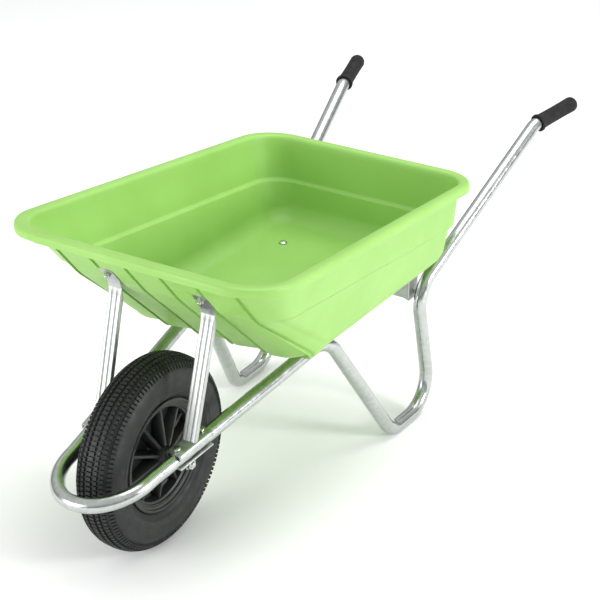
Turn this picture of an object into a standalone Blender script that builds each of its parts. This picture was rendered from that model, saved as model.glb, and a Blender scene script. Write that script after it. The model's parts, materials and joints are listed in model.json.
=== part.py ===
"""Single-wheel garden wheelbarrow: one-piece tube frame, moulded tray and pneumatic wheel.

Metres, +Z up. The origin is on the ground under the middle of the barrow: +Y runs
towards the handles, the wheel is at -Y, and the YZ plane is the plane of symmetry.
"""

import math

import bmesh
import bpy
from mathutils import Matrix, Vector

# ---- driving dimensions -------------------------------------------------------------
WHEEL_R = 0.200  # pneumatic tyre for a 200 mm (8 inch) rim
WHEEL_Y = -0.506
TYRE_HALF_WIDTH = 0.044
RIM_R = 0.116  # outside of the rim flanges
RIM_HALF_WIDTH = 0.034
HUB_R, HUB_HALF_LENGTH = 0.0215, 0.045
WEBS, FIRST_WEB = 10, math.radians(85)
BEARING_R, BEARING_LENGTH = 0.0150, 0.018
AXLE_R = 0.006  # M12
VALVE_R, VALVE_CAP_R, VALVE_X = 0.004, 0.0055, 0.013
VALVE_ANGLE = FIRST_WEB - 1.5 * math.tau / WEBS  # midway between two webs

TUBE_R = 0.015
TUBE_WALL = 0.0015
TUBE_SIDES_RESOLUTION = 4  # twelve sides
HOOP_HALF = 0.0925
HOOP_SIDE = Vector((HOOP_HALF, -0.632, 0.2297))  # where the hoop meets the straight arm
HOOP_DEPTH = 0.115
KNEE = Vector((0.156, -0.111, 0.316))  # bend under the tray
TOE = Vector((0.203, 0.078, TUBE_R))  # front of the foot
HEEL = Vector((0.206, 0.2465, TUBE_R))  # back of the foot
HIP = Vector((0.1974, 0.197, 0.300))  # leg to handle
GRIP_START = Vector((0.2552, 0.6367, 0.5531))
GRIP_END = Vector((0.2847, 0.7503, 0.5694))
KNEE_BEND, TOE_BEND, HEEL_BEND, HIP_BEND, WRIST_BEND = 0.075, 0.050, 0.075, 0.080, 0.045
WRIST_LEAD = 0.012  # the handle's last bend is this far before the grip
GRIP_COVER = 0.106  # tube inside the grip
GRIP_LENGTH, GRIP_R, GRIP_COLLAR_R, GRIP_END_ROUND = 0.1265, 0.0176, 0.0205, 0.010

RIM_TOP_Z, RIM_FALL = 0.637, 0.110  # the tray's rim falls towards the handles
LIP = dict(half_front=0.3125, half_rear=0.2833, front=-0.5653, rear=0.3275)
WALL_TOP = dict(half_front=0.2885, half_rear=0.2613, front=-0.535, rear=0.3065)
LEDGE_TOP = dict(half_front=0.266, half_rear=0.251, front=-0.4555, rear=0.3055)
LEDGE_FOOT = dict(half_front=0.257, half_rear=0.242, front=-0.441, rear=0.298)
FLOOR = dict(half_front=0.182, half_rear=0.182, front=-0.249, rear=0.247)
FLOOR_Z = 0.344
FLOOR_FILLET = 0.050
TRAY_WALL = 0.004
LIP_DEPTH = 0.0185
LEDGE_TOP_DROP, LEDGE_FOOT_DROP = 0.101, 0.110
FLOOR_CORNER, FILLET_CORNER = 0.035, 0.065
LEDGE_FOOT_CORNERS = (0.050, 0.065)  # front and rear corner radius of each outline
LEDGE_TOP_CORNERS = (0.056, 0.072)
WALL_TOP_CORNERS = (0.080, 0.072)
LIP_CORNERS = (0.105, 0.093)
STRAKES_X = (-0.200, -0.119, -0.039, 0.042, 0.1235, 0.205)
STRAKE_HEIGHT, STRAKE_STEP = 0.005, 0.003
KNEE_PAD = dict(low=(0.133, -0.180, 0.3244), high=(0.179, -0.118, FLOOR_Z + 0.0015))

GAP = 0.0003
BOLT_R, BOLT_HOLE_R = 0.004, 0.0043  # M8
HEAD_R, HEAD_H, NUT_R, NUT_H = 0.0075, 0.0053, 0.0075, 0.0065
BOLT_STAND_OUT = 0.003  # thread left showing beyond a nut

STAY_WIDTH, STAY_DEPTH, SHEET = 0.032, 0.009, 0.0022
STAY_BASE = Vector((0.105, -0.5265, 0.2655))
STAY_HEAD = Vector((0.1085, -0.4587, 0.488))
STAY_ELBOW = Vector((STAY_HEAD.x, -0.4548, 0.5125))
TAB_START, TAB_END, TAB_BOLT = 0.005, 0.041, 0.027  # up the front wall from the ledge
TAB_LIFT = SHEET / 2 + 2 * GAP
STAY_FOOT_Y = -0.521
FOOT_HALF_WIDTH, FOOT_HALF_LENGTH = 0.019, 0.047
FOOT_BOLT_SPACING = 0.068
FLOOR_BOLT = Vector((0.129, 0.168, FLOOR_Z + TRAY_WALL))

BRACE_TOP = FLOOR_Z - GAP
BRACE_FRONT, BRACE_BACK, BRACE_SHEET = 0.152, 0.196, 0.0025
BRACE_FRONT_DEPTH, BRACE_BACK_DEPTH = 0.042, 0.024
BRACE_END_X = 0.1820
BRACE_FRONT_HALF = 0.200  # the front flange runs on in front of the legs
BRACE_BOLT_Y, BRACE_BOLT_Z, BRACE_BOLT_LENGTH = 0.2095, 0.291, 0.013

BRACKET_SHEET = 0.003
LUG_INNER = 0.0870
LUG_OUTER = LUG_INNER + BRACKET_SHEET
LUG_R, LUG_TOP = 0.0125, 0.2345
AXLE_CENTRE = Vector((0, WHEEL_Y, WHEEL_R))
AXLE_NUT_R, AXLE_NUT_H = 0.0105, 0.0085
AXLE_HALF = LUG_OUTER + GAP + AXLE_NUT_H + 0.0035
AXLE_BORE_R = AXLE_R + GAP
SPACER_R = 0.0105

for old in list(bpy.data.objects):
    bpy.data.objects.remove(old, do_unlink=True)
barrow = bpy.data.collections.new("wheelbarrow")
cutters = bpy.data.collections.new("cutters")
bpy.context.scene.collection.children.link(barrow)
bpy.context.scene.collection.children.link(cutters)
cutters.hide_render = True


# ---- materials ----------------------------------------------------------------------
def material(name, rgb, roughness, metallic=0.0):
    made = bpy.data.materials.new(name)
    made.use_nodes = True
    shader = made.node_tree.nodes["Principled BSDF"]
    shader.inputs["Base Color"].default_value = (*rgb, 1)
    shader.inputs["Roughness"].default_value = roughness
    shader.inputs["Metallic"].default_value = metallic
    made.diffuse_color = (*rgb, 1)
    return made


LIME = material("lime_polypropylene", (0.32, 0.62, 0.14), 0.45)
GALVANISED = material("galvanised_steel", (0.62, 0.64, 0.63), 0.35, 1.0)
ZINC = material("zinc_plated_steel", (0.70, 0.70, 0.68), 0.25, 1.0)
TYRE_RUBBER = material("tyre_rubber", (0.03, 0.03, 0.03), 0.80)
BLACK_PLASTIC = material("black_plastic", (0.02, 0.02, 0.022), 0.50)
GRIP_PVC = material("grip_pvc", (0.035, 0.035, 0.035), 0.60)


# ---- small tools --------------------------------------------------------------------
def add_object(name, mesh, surface, where=barrow):
    obj = bpy.data.objects.new(name, mesh)
    where.objects.link(obj)
    if surface:
        mesh.materials.append(surface)
    return obj


def from_bmesh(name, bm, surface, where=barrow, smooth_below=35):
    bmesh.ops.recalc_face_normals(bm, faces=bm.faces)
    mesh = bpy.data.meshes.new(name)
    bm.to_mesh(mesh)
    bm.free()
    mesh.shade_smooth()
    mesh.set_sharp_from_angle(angle=math.radians(smooth_below))
    return add_object(name, mesh, surface, where)


def evaluated_mesh(obj):
    graph = bpy.context.evaluated_depsgraph_get()
    graph.update()
    return bpy.data.meshes.new_from_object(obj.evaluated_get(graph))


def apply_modifiers(obj):
    mesh = evaluated_mesh(obj)
    obj.modifiers.clear()
    obj.data = mesh


def box(bm, low, high, frame=Matrix.Identity(4)):
    size = Vector(high) - Vector(low)
    middle = (Vector(high) + Vector(low)) / 2
    place = frame @ Matrix.Translation(middle) @ Matrix.Diagonal((*size, 1))
    bmesh.ops.create_cube(bm, size=1, matrix=place)


def along(start, end):
    """A frame at start whose +Z points to end."""
    turn = (Vector(end) - Vector(start)).to_track_quat("Z", "Y").to_matrix().to_4x4()
    return Matrix.Translation(start) @ turn


def rod(bm, start, end, radius, sides=24, radius_end=None):
    start, end = Vector(start), Vector(end)
    length = (end - start).length
    place = along(start, end) @ Matrix.Translation((0, 0, length / 2))
    last = radius if radius_end is None else radius_end
    bmesh.ops.create_cone(
        bm, cap_ends=True, segments=sides, radius1=radius, radius2=last, depth=length, matrix=place
    )


def boolean(target, others, operation):
    """Joins others to target, or cuts them from it, and applies the result."""
    for other in others:
        step = target.modifiers.new(operation.lower(), "BOOLEAN")
        step.operation = operation
        step.object = other
    apply_modifiers(target)
    for other in others:
        bpy.data.objects.remove(other, do_unlink=True)


def cutter(name, shape):
    bm = bmesh.new()
    shape(bm)
    obj = from_bmesh(name, bm, None, cutters)
    obj.display_type = "WIRE"
    obj.hide_render = True
    return obj


def drill(target, holes, sides=12):
    """holes: (start, end, radius) of each drilled hole."""
    made = [cutter("drill", lambda bm, h=h: rod(bm, h[0], h[1], h[2], sides)) for h in holes]
    boolean(target, made, "DIFFERENCE")


def piece(name, surface, *shapes):
    """One solid made of the union of several simple closed shapes."""
    parts = []
    for index, shape in enumerate(shapes):
        bm = bmesh.new()
        shape(bm)
        parts.append(from_bmesh(name if index == 0 else f"{name}_join", bm, surface))
    if len(parts) > 1:
        boolean(parts[0], parts[1:], "UNION")
    return parts[0]


def side_point(point, side):
    return Vector((side * point[0], point[1], point[2]))


def turned(name, profile, centre, axis, surface, steps=40, closed=True):
    """A profile of (radius, height) turned about an axis; an open one starts and ends on it."""
    mesh = bpy.data.meshes.new(name)
    points = [(radius, 0, height) for radius, height in profile]
    edges = [(i, i + 1) for i in range(len(points) - 1)]
    if closed:
        edges.append((len(points) - 1, 0))
    mesh.from_pydata(points, edges, [])
    obj = add_object(name, mesh, surface)
    screw = obj.modifiers.new("turn", "SCREW")
    screw.steps = screw.render_steps = steps
    screw.use_merge_vertices = True
    screw.merge_threshold = 0.00001
    place = along(centre, Vector(centre) + Vector(axis))
    apply_modifiers(obj)
    bm = bmesh.new()
    bm.from_mesh(obj.data)
    bm.transform(place)
    bmesh.ops.remove_doubles(bm, verts=bm.verts, dist=0.00001)
    bmesh.ops.recalc_face_normals(bm, faces=bm.faces)
    bm.to_mesh(obj.data)
    bm.free()
    obj.data.shade_smooth()
    obj.data.set_sharp_from_angle(angle=math.radians(35))
    return obj


# ---- frame tube ---------------------------------------------------------------------
def bend(before, corner, after, radius, steps=5):
    """Points of the arc that rounds a corner between two straight runs."""
    back, ahead = (before - corner).normalized(), (after - corner).normalized()
    half_turn = (math.pi - back.angle(ahead)) / 2
    reach = radius * math.tan(half_turn)
    middle = corner + (back + ahead).normalized() * radius / math.cos(half_turn)
    start, end = corner + back * reach - middle, corner + ahead * reach - middle
    return [middle + start.slerp(end, i / steps) * radius for i in range(steps + 1)]


def hoop_points(steps=18):
    """The front hoop: half an ellipse in the plane of the two straight arms."""
    forward = HOOP_SIDE - KNEE
    forward.x = 0
    forward.normalize()
    centre = Vector((0, HOOP_SIDE.y, HOOP_SIDE.z))
    angles = [math.pi * i / steps for i in range(steps + 1)]
    across = Vector((HOOP_HALF, 0, 0))
    return [centre + across * math.cos(a) + forward * HOOP_DEPTH * math.sin(a) for a in angles]


grip_axis = (GRIP_END - GRIP_START).normalized()
WRIST = GRIP_START - grip_axis * WRIST_LEAD
TUBE_END = GRIP_START + grip_axis * GRIP_COVER


def side_run():
    """The right-hand run of the tube, from inside the grip down to the hoop."""
    run = [TUBE_END]
    run += bend(TUBE_END, WRIST, HIP, WRIST_BEND, 3)
    run += bend(WRIST, HIP, HEEL, HIP_BEND)
    run += bend(HIP, HEEL, TOE, HEEL_BEND, 7)
    run += bend(HEEL, TOE, KNEE, TOE_BEND)
    run += bend(TOE, KNEE, HOOP_SIDE, KNEE_BEND)
    return run


def tube_object():
    right = side_run()
    route = right + hoop_points() + [side_point(p, -1) for p in reversed(right)]
    curve = bpy.data.curves.new("frame_tube", "CURVE")
    curve.dimensions = "3D"
    curve.bevel_depth = TUBE_R
    curve.bevel_resolution = TUBE_SIDES_RESOLUTION
    curve.use_fill_caps = False
    spline = curve.splines.new("POLY")
    spline.points.add(len(route) - 1)
    for point, place in zip(spline.points, route):
        point.co = (*place, 1)
    guide = bpy.data.objects.new("frame_route", curve)
    barrow.objects.link(guide)
    mesh = evaluated_mesh(guide)
    bpy.data.objects.remove(guide, do_unlink=True)
    bm = bmesh.new()
    bm.from_mesh(mesh)
    bmesh.ops.remove_doubles(bm, verts=bm.verts, dist=0.00001)
    bmesh.ops.recalc_face_normals(bm, faces=bm.faces)
    bm.to_mesh(mesh)
    bm.free()
    tube = add_object("frame_tube", mesh, GALVANISED)
    wall = tube.modifiers.new("wall", "SOLIDIFY")
    wall.thickness = TUBE_WALL
    wall.offset = -1
    apply_modifiers(tube)
    tube.data.shade_smooth()
    tube.data.set_sharp_from_angle(angle=math.radians(40))
    return tube


frame_tube = tube_object()

# ---- places on the straight front arm -----------------------------------------------
arm_axis = (KNEE - HOOP_SIDE).normalized()
arm_point = HOOP_SIDE + arm_axis * ((STAY_FOOT_Y - HOOP_SIDE.y) / arm_axis.y)
arm_up = (Vector((0, 0, 1)) - arm_axis * arm_axis.z).normalized()
arm_out = arm_axis.cross(arm_up)


def arm_frame(side):
    """Frame on the front arm at the stay's foot: X outward, Y back along the arm, Z up."""
    columns = [side_point(v, side) for v in (arm_out, arm_axis, arm_up)]
    turn = Matrix(columns).transposed().to_4x4()
    return Matrix.Translation(side_point(arm_point, side)) @ turn


def foot_bolt_places(side):
    """(point on the arm's centre line, direction up) of the two bolts through the arm."""
    frame, up = arm_frame(side), side_point(arm_up, side)
    half = FOOT_BOLT_SPACING / 2
    return [(frame @ Vector((0, reach, 0)), up) for reach in (-half, half)]


def brace_bolt_hole(side, inner_x, outer_x):
    start = Vector((side * inner_x, BRACE_BOLT_Y, BRACE_BOLT_Z))
    end = Vector((side * outer_x, BRACE_BOLT_Y, BRACE_BOLT_Z))
    return start, end, BOLT_HOLE_R


for side in (1, -1):
    places = foot_bolt_places(side)
    through = [(centre - up * 0.03, centre + up * 0.03, BOLT_HOLE_R) for centre, up in places]
    drill(frame_tube, through + [brace_bolt_hole(side, 0.17, 0.194)])


# ---- grips --------------------------------------------------------------------------
def grip(name, side):
    rounding = [
        (GRIP_R - GRIP_END_ROUND * (1 - math.sin(a)), GRIP_LENGTH - GRIP_END_ROUND * (1 - math.cos(a)))
        for a in (math.radians(d) for d in (0, 30, 60, 90))
    ]
    bore, bore_end = TUBE_R + GAP, GRIP_COVER + 0.001
    profile = [(0.0, GRIP_LENGTH)] + rounding
    profile += [(GRIP_R - 0.0006, 0.070), (GRIP_R, 0.012), (GRIP_COLLAR_R, 0.006), (GRIP_COLLAR_R, 0.0)]
    profile += [(bore, 0.0), (bore, bore_end), (0.0, bore_end)]
    start, axis = side_point(GRIP_START, side), side_point(grip_axis, side)
    return turned(name, profile, start, axis, GRIP_PVC, steps=24, closed=False)


grip("grip_right", 1)
grip("grip_left", -1)


# ---- tray ---------------------------------------------------------------------------
def rim_z(y, drop):
    return RIM_TOP_Z - RIM_FALL * (y - LIP["front"]) - drop


def mix(a, b, share):
    return {key: a[key] + (b[key] - a[key]) * share for key in a}


def inset(outline, amount, front_amount):
    return dict(
        half_front=outline["half_front"] - amount,
        half_rear=outline["half_rear"] - amount,
        front=outline["front"] + front_amount,
        rear=outline["rear"] - amount,
    )


def section(outline, heights, corners, relief=0.0):
    """One closed loop of the tray: heights gives z from (part, y), part 0 front, 1 side, 2 rear."""
    front_r, rear_r = corners
    edge = outline["half_front"] - front_r
    points = []
    samples = [(-edge, 0.0)]
    for x in STRAKES_X:
        x = max(-edge + 2 * STRAKE_STEP, min(edge - STRAKE_STEP, x))
        samples += [(x - STRAKE_STEP, 0.0), (x, relief)]
    samples.append((edge, 0.0))
    for x, proud in samples:
        push = proud / math.sqrt(2)
        points.append(Vector((x, outline["front"] - push, heights(0, outline["front"]) - push)))
    rear_edge = outline["half_rear"] - rear_r

    def arc(cx, cy, radius, from_deg, part_a, part_b, steps=6):
        first = 1 if part_a == 0 else 0
        for i in range(first, steps + 1):
            share = i / steps
            angle = math.radians(from_deg + 90 * share)
            x, y = cx + radius * math.cos(angle), cy + radius * math.sin(angle)
            z = heights(part_a, y) * (1 - share) + heights(part_b, y) * share
            points.append(Vector((x, y, z)))

    arc(edge, outline["front"] + front_r, front_r, -90, 0, 1)
    arc(rear_edge, outline["rear"] - rear_r, rear_r, 0, 1, 2)
    arc(-rear_edge, outline["rear"] - rear_r, rear_r, 90, 2, 1)
    arc(-edge, outline["front"] + front_r, front_r, 180, 1, 0)
    points.pop()  # the last corner ends on the first point of the front edge
    return points


def on_rim(drop):
    return lambda part, y: rim_z(y, drop)


def fillet_section(share, radius, floor_z, relief=0.0):
    """A loop of the rounding between floor and walls; the walls stand at different slopes."""
    turns = [math.radians(d * share) for d in (45, 78, 86)]
    front, flank, rear = (radius * math.sin(t) for t in turns)
    rises = [radius * (1 - math.cos(t)) for t in turns]
    outline = dict(
        half_front=FLOOR["half_front"] + flank,
        half_rear=FLOOR["half_rear"] + flank,
        front=FLOOR["front"] - front,
        rear=FLOOR["rear"] + rear,
    )
    corner = FLOOR_CORNER + (FILLET_CORNER - FLOOR_CORNER) * share
    return section(outline, lambda part, y: floor_z + rises[part], (corner, corner), relief)


def tray_loops():
    """All loops from the middle of the underside, up the outside, over the lip and down inside."""
    shares = (0, 0.33, 0.66, 1)
    outer = [fillet_section(s, FLOOR_FILLET, FLOOR_Z, STRAKE_HEIGHT * min(1, s * 2)) for s in shares]
    outer.append(section(LEDGE_FOOT, on_rim(LEDGE_FOOT_DROP), LEDGE_FOOT_CORNERS, STRAKE_HEIGHT))
    outer.append(section(LEDGE_TOP, on_rim(LEDGE_TOP_DROP), LEDGE_TOP_CORNERS))
    lip = [(0.0, 0.006), (0.83, 0.006), (0.83, LIP_DEPTH), (1.0, LIP_DEPTH)]  # (share out, drop)
    lip += [(1.0, 0.005), (0.94, 0.0015), (0.84, 0.0), (0.25, 0.0), (0.02, 0.0025)]
    for share, drop in lip:
        corners = tuple(w + (c - w) * share for w, c in zip(WALL_TOP_CORNERS, LIP_CORNERS))
        outer.append(section(mix(WALL_TOP, LIP, share), on_rim(drop), corners))
    wall = TRAY_WALL
    inner = []
    for outline, drop, corners, front_wall in (
        (WALL_TOP, 0.009, WALL_TOP_CORNERS, wall),
        (LEDGE_TOP, LEDGE_TOP_DROP, LEDGE_TOP_CORNERS, 1.3 * wall),
        (LEDGE_FOOT, LEDGE_FOOT_DROP - wall, LEDGE_FOOT_CORNERS, 1.4 * wall),
    ):
        tighter = tuple(radius - wall for radius in corners)
        inner.append(section(inset(outline, wall, front_wall), on_rim(drop), tighter))
    inner += [fillet_section(s, FLOOR_FILLET - wall, FLOOR_Z + wall) for s in reversed(shares)]
    return outer + inner


def tray_shell(bm):
    rings = [[bm.verts.new(p) for p in loop] for loop in tray_loops()]
    for below, above in zip(rings, rings[1:]):
        for i in range(len(below)):
            j = (i + 1) % len(below)
            bm.faces.new((below[i], below[j], above[j], above[i]))
    bm.faces.new(list(reversed(rings[0])))
    bm.faces.new(rings[-1])


def knee_pad(side):
    """A moulded pad under the floor that rests on the frame's bend."""
    (x0, y0, z0), (x1, y1, z1) = KNEE_PAD["low"], KNEE_PAD["high"]
    xs = sorted((side * x0, side * x1))
    return lambda bm: box(bm, (xs[0], y0, z0), (xs[1], y1, z1))


tray = piece("tray", LIME, tray_shell, knee_pad(1), knee_pad(-1))


# ---- stays --------------------------------------------------------------------------
wall_foot = Vector((0, LEDGE_TOP["front"], rim_z(LEDGE_TOP["front"], LEDGE_TOP_DROP)))
wall_head = Vector((0, WALL_TOP["front"], rim_z(WALL_TOP["front"], 0.006)))
wall_up = (wall_head - wall_foot).normalized()
wall_out = Vector((0, -wall_up.z, wall_up.y))


def tab_point(distance, side, lift=TAB_LIFT):
    point = wall_foot + wall_up * distance + wall_out * lift
    return Vector((side * STAY_HEAD.x, point.y, point.z))


def stay_channel(side):
    """Fluted channel: two grooves run down its face and its edges are turned back."""
    half, depth, flute = STAY_WIDTH / 2, STAY_DEPTH, 0.0035
    face = [(-half, depth), (-half, 0), (-0.0085, 0), (-0.0065, flute), (-0.0045, flute), (-0.0025, 0)]
    outline = face + [(-x, y) for x, y in reversed(face)]
    ends = [side_point(STAY_BASE, side), side_point(STAY_HEAD, side)]

    def shape(bm):
        low, high = ([bm.verts.new(end + Vector((x, y, 0))) for x, y in outline] for end in ends)
        faces = [bm.faces.new((low[i], low[i + 1], high[i + 1], high[i])) for i in range(len(outline) - 1)]
        bm.normal_update()
        bmesh.ops.solidify(bm, geom=faces, thickness=SHEET)

    return shape


def prism(outline, x_low, x_high):
    """A plate across X: outline is its (y, z) corners in order."""

    def shape(bm):
        low = [bm.verts.new((x_low, y, z)) for y, z in outline]
        high = [bm.verts.new((x_high, y, z)) for y, z in outline]
        bm.faces.new(low)
        bm.faces.new(list(reversed(high)))
        for i in range(len(low)):
            j = (i + 1) % len(low)
            bm.faces.new((low[j], low[i], high[i], high[j]))

    return shape


def bent_strip(points, half_width, x_middle, thickness):
    """A strip of sheet that follows points (y, z) and is centred on x_middle."""
    path = [Vector((0, p.y, p.z)) for p in points]
    upper, lower = [], []
    for i, p in enumerate(path):
        before, after = path[max(i - 1, 0)], path[min(i + 1, len(path) - 1)]
        run = (after - before).normalized()
        normal = Vector((0, -run.z, run.y)) * thickness / 2
        upper.append(((p + normal).y, (p + normal).z))
        lower.append(((p - normal).y, (p - normal).z))
    return prism(upper + lower[::-1], x_middle - half_width, x_middle + half_width)


def foot_lip(edge, frame):
    """One turned-down edge of the stay's foot."""
    low, high = sorted((edge * (FOOT_HALF_WIDTH - SHEET), edge * FOOT_HALF_WIDTH))
    top = TUBE_R + GAP + 0.001
    return lambda bm: box(bm, (low, -FOOT_HALF_LENGTH, 0.004), (high, FOOT_HALF_LENGTH, top), frame)


def stay(name, side):
    frame = arm_frame(side)
    low = Vector((-FOOT_HALF_WIDTH, -FOOT_HALF_LENGTH, TUBE_R + GAP))
    high = Vector((FOOT_HALF_WIDTH, FOOT_HALF_LENGTH, TUBE_R + GAP + SHEET))
    plate = lambda bm: box(bm, low, high, frame)
    head, elbow = side_point(STAY_HEAD, side), side_point(STAY_ELBOW, side)
    start = head - Vector((0, 0.0055, 0.018))
    strip_path = [start, head, elbow, tab_point(TAB_START, side), tab_point(TAB_END, side)]
    strip = bent_strip(strip_path, STAY_WIDTH / 2, head.x, SHEET)
    lips = [foot_lip(edge, frame) for edge in (-1, 1)]
    made = piece(name, GALVANISED, plate, *lips, stay_channel(side), strip)
    holes = [(centre, centre + up * 0.03, BOLT_HOLE_R) for centre, up in foot_bolt_places(side)]
    bolt = tab_point(TAB_BOLT, side)
    holes.append((bolt - wall_out * 0.01, bolt + wall_out * 0.01, BOLT_HOLE_R))
    drill(made, holes)
    return made


stay("stay_right", 1)
stay("stay_left", -1)


# ---- cross brace under the back of the floor -----------------------------------------
def brace_end(side):
    """The end plate lies against the leg, and its lower corner is cut away."""
    xs = sorted((side * (BRACE_END_X - BRACE_SHEET), side * BRACE_END_X))
    top, low = BRACE_TOP - 0.0005, 0.2780
    front, cut, back = BRACE_FRONT + 0.001, 0.186, 0.2245
    corner = BRACE_TOP - BRACE_FRONT_DEPTH + 0.002
    return prism([(front, top), (front, corner), (cut, low), (back, low), (back, top)], *xs)


def brace_web(half, low_y, high_y, depth):
    return lambda bm: box(bm, (-half, low_y, BRACE_TOP - depth), (half, high_y, BRACE_TOP))


cross_brace = piece(
    "cross_brace",
    GALVANISED,
    brace_web(BRACE_END_X - 0.001, BRACE_FRONT + 0.001, BRACE_BACK - 0.001, BRACE_SHEET),
    brace_web(BRACE_FRONT_HALF, BRACE_FRONT, BRACE_FRONT + BRACE_SHEET, BRACE_FRONT_DEPTH),
    brace_web(BRACE_END_X - 0.001, BRACE_BACK - BRACE_SHEET, BRACE_BACK, BRACE_BACK_DEPTH),
    brace_end(1),
    brace_end(-1),
)
floor_bolts = [side_point(FLOOR_BOLT, side) for side in (1, -1)]
floor_holes = [(p - Vector((0, 0, 0.02)), p + Vector((0, 0, 0.01)), BOLT_HOLE_R) for p in floor_bolts]
drill(cross_brace, floor_holes + [brace_bolt_hole(side, 0.17, 0.19) for side in (1, -1)])
tab_centres = [tab_point(TAB_BOLT, side, 0) for side in (1, -1)]
tab_holes = [(p - wall_out * 0.02, p + wall_out * 0.02, BOLT_HOLE_R) for p in tab_centres]
drill(tray, floor_holes + tab_holes)


# ---- bolts and nuts -------------------------------------------------------------------
def hex_bolt(name, seat, direction, length):
    """A hexagon bolt whose head's underside is on seat and whose shank runs along direction."""
    direction = Vector(direction).normalized()
    head = lambda bm: rod(bm, seat - direction * HEAD_H, seat, HEAD_R, 6)
    shank = lambda bm: rod(bm, seat - direction * 0.001, seat + direction * length, BOLT_R, 12)
    return piece(name, ZINC, head, shank)


def dome_bolt(name, seat, direction, length):
    """A carriage bolt: a low domed head in two tapers and a round shank."""
    direction = Vector(direction).normalized()
    brim, middle, crown = (0.0098, 0.0), (0.0086, 0.0024), (0.0045, 0.0044)  # (radius, height)

    def head(bm, low, high, sink):
        rod(bm, seat - direction * (low[1] - sink), seat - direction * high[1], low[0], 16, high[0])

    lower = lambda bm: head(bm, brim, middle, 0)
    upper = lambda bm: head(bm, middle, crown, 0.0001)
    shank = lambda bm: rod(bm, seat - direction * 0.001, seat + direction * length, BOLT_R, 12)
    return piece(name, ZINC, lower, upper, shank)


def nut(name, seat, direction):
    """A hexagon nut that starts at seat and is threaded onto a shank along direction."""
    direction = Vector(direction).normalized()
    made = piece(name, ZINC, lambda bm: rod(bm, seat, seat + direction * NUT_H, NUT_R, 6))
    drill(made, [(seat - direction * 0.005, seat + direction * (NUT_H + 0.005), BOLT_HOLE_R)])
    return made


for side_name, side in (("right", 1), ("left", -1)):
    for end_name, (centre, up) in zip(("front", "rear"), foot_bolt_places(side)):
        top = centre + up * (TUBE_R + 2 * GAP + SHEET)
        under = centre - up * (TUBE_R + 2 * GAP + BRACKET_SHEET)
        length = (top - under).length + NUT_H + BOLT_STAND_OUT
        hex_bolt(f"stay_bolt_{side_name}_{end_name}", top, -up, length)
        nut(f"stay_nut_{side_name}_{end_name}", under, -up)
    inside = tab_point(TAB_BOLT, side, 0) - wall_out * (TRAY_WALL + 0.0012)
    outside = tab_point(TAB_BOLT, side, TAB_LIFT + SHEET / 2 + GAP)
    length = (outside - inside).length + NUT_H + BOLT_STAND_OUT
    dome_bolt(f"tray_bolt_{side_name}", inside, wall_out, length)
    nut(f"tray_nut_{side_name}", outside, wall_out)
    seat = side_point(FLOOR_BOLT, side) + Vector((0, 0, GAP))
    under = Vector((seat.x, seat.y, BRACE_TOP - BRACE_SHEET - GAP))
    length = (seat - under).length + NUT_H + BOLT_STAND_OUT
    dome_bolt(f"floor_bolt_{side_name}", seat, (0, 0, -1), length)
    nut(f"floor_nut_{side_name}", under, (0, 0, -1))
    head_seat = Vector((side * (BRACE_END_X - BRACE_SHEET - GAP), BRACE_BOLT_Y, BRACE_BOLT_Z))
    hex_bolt(f"brace_bolt_{side_name}", head_seat, (side, 0, 0), BRACE_BOLT_LENGTH)


# ---- axle and its brackets ------------------------------------------------------------
def on_axle(x):
    return AXLE_CENTRE + Vector((x, 0, 0))


def axle_bracket(name, side):
    """A flange under the arm and a lug that hangs from its inner edge and carries the axle."""
    frame = arm_frame(side)
    under = -(TUBE_R + GAP)
    low = Vector((-0.0215, -FOOT_HALF_LENGTH, under - BRACKET_SHEET))
    high = Vector((0.0150, FOOT_HALF_LENGTH, under))
    flange = lambda bm: box(bm, low, high, frame)
    outline = [(WHEEL_Y + 0.021, LUG_TOP), (WHEEL_Y - 0.021, LUG_TOP - 0.002)]
    for degrees in range(180, 361, 20):
        a = math.radians(degrees)
        outline.append((WHEEL_Y + LUG_R * math.cos(a), WHEEL_R + LUG_R * math.sin(a)))
    lug = prism(outline, *sorted((side * LUG_INNER, side * LUG_OUTER)))
    made = piece(name, GALVANISED, flange, lug)
    bore = (on_axle(side * (LUG_INNER - 0.01)), on_axle(side * (LUG_OUTER + 0.01)), AXLE_BORE_R)
    drill(made, [bore], 24)
    drill(made, [(centre, centre - up * 0.04, BOLT_HOLE_R) for centre, up in foot_bolt_places(side)])
    return made


axle_bracket("axle_bracket_right", 1)
axle_bracket("axle_bracket_left", -1)
piece("axle", ZINC, lambda bm: rod(bm, on_axle(-AXLE_HALF), on_axle(AXLE_HALF), AXLE_R, 20))
for side_name, side in (("right", 1), ("left", -1)):
    nut_seat = LUG_OUTER + GAP
    start, end = on_axle(side * nut_seat), on_axle(side * (nut_seat + AXLE_NUT_H))
    axle_nut = piece(f"axle_nut_{side_name}", ZINC, lambda bm: rod(bm, start, end, AXLE_NUT_R, 6))
    bore = (on_axle(side * (nut_seat - 0.005)), on_axle(side * (nut_seat + 0.02)), AXLE_BORE_R)
    drill(axle_nut, [bore], 20)


def ring(name, x_low, x_high, bore, outside, surface, steps=24):
    profile = [(outside, x_high), (outside, x_low), (bore, x_low), (bore, x_high)]
    return turned(name, profile, AXLE_CENTRE, (1, 0, 0), surface, steps)


for side_name, side in (("right", 1), ("left", -1)):
    ends = sorted((side * (HUB_HALF_LENGTH + 0.0006), side * (LUG_INNER - GAP)))
    ring(f"axle_spacer_{side_name}", ends[0], ends[1], AXLE_BORE_R, SPACER_R, BLACK_PLASTIC)

# ---- wheel ----------------------------------------------------------------------------
for side_name, side in (("right", 1), ("left", -1)):
    ends = sorted((side * (HUB_HALF_LENGTH - BEARING_LENGTH), side * HUB_HALF_LENGTH))
    ring(f"wheel_bearing_{side_name}", ends[0], ends[1], AXLE_BORE_R, BEARING_R, BLACK_PLASTIC)


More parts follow.
